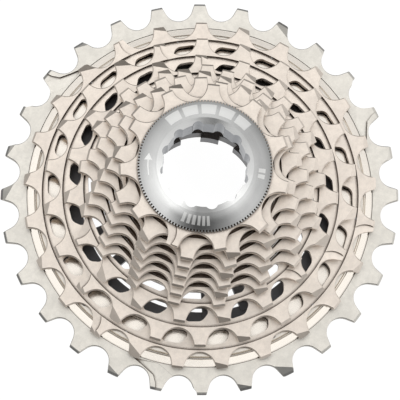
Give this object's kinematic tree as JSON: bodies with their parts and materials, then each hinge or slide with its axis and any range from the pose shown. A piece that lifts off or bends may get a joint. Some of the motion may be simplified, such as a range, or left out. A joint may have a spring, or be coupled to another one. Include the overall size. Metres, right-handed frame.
{
  "type": "cassette sprocket",
  "caption": "Road bicycle cassette: stepped hollow dome of toothed sprockets on a larger aluminium sprocket, with a splined carrier and a screwed lockring.",
  "frame": {"origin": "on the axis, on the rearmost plane of the splined carrier and the large sprocket", "axes": "+Z along the axis toward the lockring, +Y up in the rest view, +X to the right"},
  "size_m": [0.1158, 0.1158, 0.0413],
  "materials": {
    "large_sprocket": "satin, hard-anodised off-white grey",
    "carrier": "satin, dark slate anodised",
    "rivets": "satin",
    "pins": "ground",
    "dome": "satin nickel-coloured plating",
    "lockring": "satin anodised, turned"
  },
  "bodies": {
    "cassette": {"sprocket_28t": "large_sprocket", "spline_carrier": "carrier", "carrier_rivets": "rivets", "dome_pins": "pins", "sprocket_25t": "dome", "sprocket_22t": "dome", "sprocket_19t": "dome", "sprocket_17t": "dome", "sprocket_16t": "dome", "sprocket_15t": "dome", "sprocket_14t": "dome", "sprocket_13t": "dome", "sprocket_12t": "dome", "sprocket_11t": "dome"},
    "washer": {"lockring_washer": "pins"},
    "lockring": {"lockring": "lockring"}
  },
  "joints": [
    {"name": "lockring_travel", "type": "slide", "parent": "cassette", "child": "washer", "axis": [0, 0, 1], "range_m": [0, 0.00635]},
    {"name": "lockring_turn", "type": "hinge", "parent": "washer", "child": "lockring", "pos_m": [0, 0, 0.04], "axis": [0, 0, 1], "range_deg": [0, 2160]}
  ],
  "couplings": [
    {"joint": "lockring_travel", "follows": "lockring_turn", "m_per_rad": 0.00016844}
  ]
}
